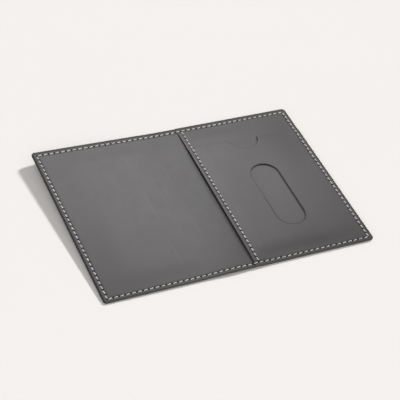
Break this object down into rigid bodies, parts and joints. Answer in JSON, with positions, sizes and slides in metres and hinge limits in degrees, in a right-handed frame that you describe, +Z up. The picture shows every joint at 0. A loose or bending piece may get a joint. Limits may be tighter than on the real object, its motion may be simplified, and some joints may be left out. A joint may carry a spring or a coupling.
{
  "type": "passport holder wallet",
  "caption": "Open bifold leather passport cover with a soft spine, a passport pocket, and a card pocket with a thumb notch and a long rounded window.",
  "frame": {"origin": "on the surface that the wallet lies on, under the middle of the spine", "axes": "+X across the right cover, away from the spine; +Y to the head edge of the covers, where the card slot is; +Z up, out of the inside faces"},
  "size_m": [0.193, 0.1396, 0.0045],
  "materials": {
    "outer_leather": "smooth dark grey leather, matt, fine grain",
    "lining_leather": "smooth dark grey lining leather, matt to satin",
    "pocket_leather": "smooth dark grey leather, matt to satin",
    "interlining": "bonded leather fibre board, not seen",
    "thread": "waxed cream thread"
  },
  "bodies": {
    "right_cover": {"outer_leather_right": "outer_leather", "interlining_right": "interlining", "lining_right": "lining_leather", "pocket_backing": "pocket_leather", "pocket_front": "pocket_leather", "seam_top_thread_right": "thread", "seam_bobbin_thread_right": "thread", "pocket_top_thread": "thread", "pocket_bobbin_thread": "thread"},
    "spine_strip_1": {"outer_leather_spine_1": "outer_leather", "lining_spine_1": "lining_leather", "seam_top_thread_spine_1": "thread", "seam_bobbin_thread_spine_1": "thread"},
    "spine_strip_2": {"outer_leather_spine_2": "outer_leather", "lining_spine_2": "lining_leather", "seam_top_thread_spine_2": "thread", "seam_bobbin_thread_spine_2": "thread"},
    "spine_strip_3": {"outer_leather_spine_3": "outer_leather", "lining_spine_3": "lining_leather", "seam_top_thread_spine_3": "thread", "seam_bobbin_thread_spine_3": "thread"},
    "spine_strip_4": {"outer_leather_spine_4": "outer_leather", "lining_spine_4": "lining_leather", "seam_top_thread_spine_4": "thread", "seam_bobbin_thread_spine_4": "thread"},
    "left_cover": {"outer_leather_left": "outer_leather", "interlining_left": "interlining", "lining_left": "lining_leather", "seam_top_thread_left": "thread", "seam_bobbin_thread_left": "thread"}
  },
  "joints": [
    {"name": "fold_1", "type": "hinge", "parent": "right_cover", "child": "spine_strip_1", "pos_m": [0.00811, 0, 0.0012], "axis": [0, 1, 0], "range_deg": [0, 36.4]},
    {"name": "fold_2", "type": "hinge", "parent": "spine_strip_1", "child": "spine_strip_2", "pos_m": [0.00405, 0, 0.0012], "axis": [0, 1, 0], "range_deg": [0, 36.4]},
    {"name": "fold_3", "type": "hinge", "parent": "spine_strip_2", "child": "spine_strip_3", "pos_m": [0, 0, 0.0012], "axis": [0, 1, 0], "range_deg": [0, 36.4]},
    {"name": "fold_4", "type": "hinge", "parent": "spine_strip_3", "child": "spine_strip_4", "pos_m": [-0.00405, 0, 0.0012], "axis": [0, 1, 0], "range_deg": [0, 36.4]},
    {"name": "fold_5", "type": "hinge", "parent": "spine_strip_4", "child": "left_cover", "pos_m": [-0.00811, 0, 0.0012], "axis": [0, 1, 0], "range_deg": [0, 36.4]}
  ]
}
